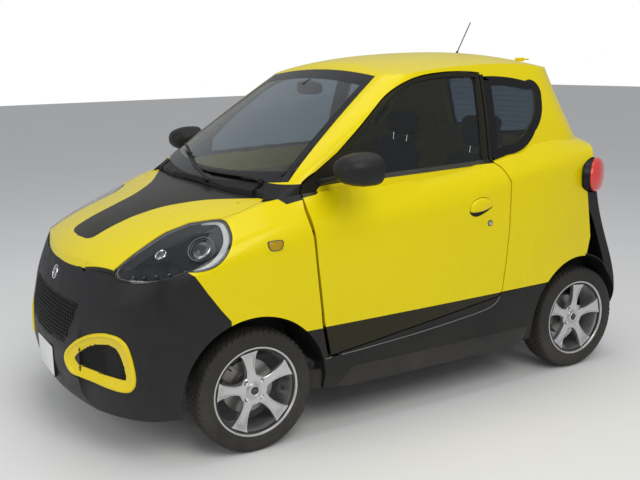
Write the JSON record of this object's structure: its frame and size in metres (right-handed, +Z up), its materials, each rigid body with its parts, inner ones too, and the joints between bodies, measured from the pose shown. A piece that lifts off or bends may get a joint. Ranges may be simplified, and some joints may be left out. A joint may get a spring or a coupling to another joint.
{
  "type": "microcar",
  "caption": "Short three-door battery city car with opening doors, bonnet and tailgate, coupled front-wheel steering and free-rolling wheels.",
  "frame": {"origin": "on the ground, under the middle of the body's length and width", "axes": "+X forward, +Y to the car's left, +Z up"},
  "size_m": [2.7677, 1.916, 1.7033],
  "materials": {
    "yellow_paint": "gloss",
    "black_paint": "gloss",
    "black_plastic": "satin",
    "grey_plastic": "satin",
    "yellow_plastic": "gloss",
    "structure": "satin",
    "glazing": "gloss",
    "lamp_clear": "gloss",
    "lamp_red": "gloss",
    "alloy": "satin",
    "tyre": "matt",
    "cast_metal": "satin",
    "seat_cloth": "matt",
    "trim_plastic": "matt"
  },
  "bodies": {
    "body": {"front_bumper": "black_plastic", "fog_surrounds": "yellow_plastic", "tail_lamps": "lamp_red", "aerial": "black_plastic", "fender_left": "yellow_paint", "fender_right": "yellow_paint", "headlamps": "lamp_clear", "windscreen": "glazing", "cowl_panel": "black_plastic", "side_frame_left": "yellow_paint", "side_frame_right": "yellow_paint", "quarter_glasses": "glazing", "roof_panel": "yellow_paint", "rear_bumper": "black_plastic", "sill_covers": "grey_plastic", "front_subframe": "structure", "front_struts": "structure", "rear_axle": "structure", "wheel_liners": "trim_plastic", "floor_pan": "structure", "battery_pack": "structure", "drive_motor": "cast_metal", "dashboard": "trim_plastic", "seat_left": "seat_cloth", "seat_right": "seat_cloth"},
    "door_left": {"door_left": "yellow_paint", "door_glass_left": "glazing", "mirror_left": "black_plastic"},
    "door_right": {"door_right": "yellow_paint", "door_glass_right": "glazing", "mirror_right": "black_plastic"},
    "tailgate": {"tailgate": "yellow_paint", "tailgate_glass": "glazing"},
    "bonnet": {"bonnet_lid": "yellow_paint"},
    "steering_wheel": {"steering_wheel": "trim_plastic"},
    "knuckle_left": {"knuckle_left": "cast_metal"},
    "knuckle_right": {"knuckle_right": "cast_metal"},
    "wheel_front_left": {"rim_front_left": "alloy", "tyre_front_left": "tyre"},
    "wheel_front_right": {"rim_front_right": "alloy", "tyre_front_right": "tyre"},
    "wheel_rear_left": {"rim_rear_left": "alloy", "tyre_rear_left": "tyre"},
    "wheel_rear_right": {"rim_rear_right": "alloy", "tyre_rear_right": "tyre"}
  },
  "joints": [
    {"name": "door_left_hinge", "type": "hinge", "parent": "body", "child": "door_left", "pos_m": [0.4, 0.733, 0.69], "axis": [0, 0, -1], "range_deg": [0, 65]},
    {"name": "door_right_hinge", "type": "hinge", "parent": "body", "child": "door_right", "pos_m": [0.4, -0.733, 0.69], "axis": [0, 0, 1], "range_deg": [0, 65]},
    {"name": "tailgate_hinge", "type": "hinge", "parent": "body", "child": "tailgate", "pos_m": [-0.985, 0, 1.508], "axis": [0, 1, 0], "range_deg": [0, 75]},
    {"name": "bonnet_hinge", "type": "hinge", "parent": "body", "child": "bonnet", "pos_m": [0.6, 0, 1.012], "axis": [0, -1, 0], "range_deg": [0, 50]},
    {"name": "kingpin_left", "type": "hinge", "parent": "body", "child": "knuckle_left", "pos_m": [0.7475, 0.6, 0.252], "axis": [0, 0, 1], "range_deg": [-35, 35]},
    {"name": "kingpin_right", "type": "hinge", "parent": "body", "child": "knuckle_right", "pos_m": [0.7475, -0.6, 0.252], "axis": [0, 0, 1], "range_deg": [-35, 35]},
    {"name": "steering_wheel_turn", "type": "hinge", "parent": "body", "child": "steering_wheel", "pos_m": [0.15, 0.33, 0.905], "axis": [-0.9063, 0, 0.4226], "range_deg": [-490.5, 490.5]},
    {"name": "wheel_front_left_spin", "type": "hinge", "parent": "knuckle_left", "child": "wheel_front_left", "pos_m": [0.7475, 0.672, 0.252], "axis": [0, 1, 0], "continuous": true},
    {"name": "wheel_front_right_spin", "type": "hinge", "parent": "knuckle_right", "child": "wheel_front_right", "pos_m": [0.7475, -0.672, 0.252], "axis": [0, 1, 0], "continuous": true},
    {"name": "wheel_rear_left_spin", "type": "hinge", "parent": "body", "child": "wheel_rear_left", "pos_m": [-1.0175, 0.672, 0.252], "axis": [0, 1, 0], "continuous": true},
    {"name": "wheel_rear_right_spin", "type": "hinge", "parent": "body", "child": "wheel_rear_right", "pos_m": [-1.0175, -0.672, 0.252], "axis": [0, 1, 0], "continuous": true}
  ],
  "couplings": [
    {"joint": "kingpin_right", "follows": "kingpin_left", "ratio": 1},
    {"joint": "steering_wheel_turn", "follows": "kingpin_left", "ratio": 14}
  ]
}
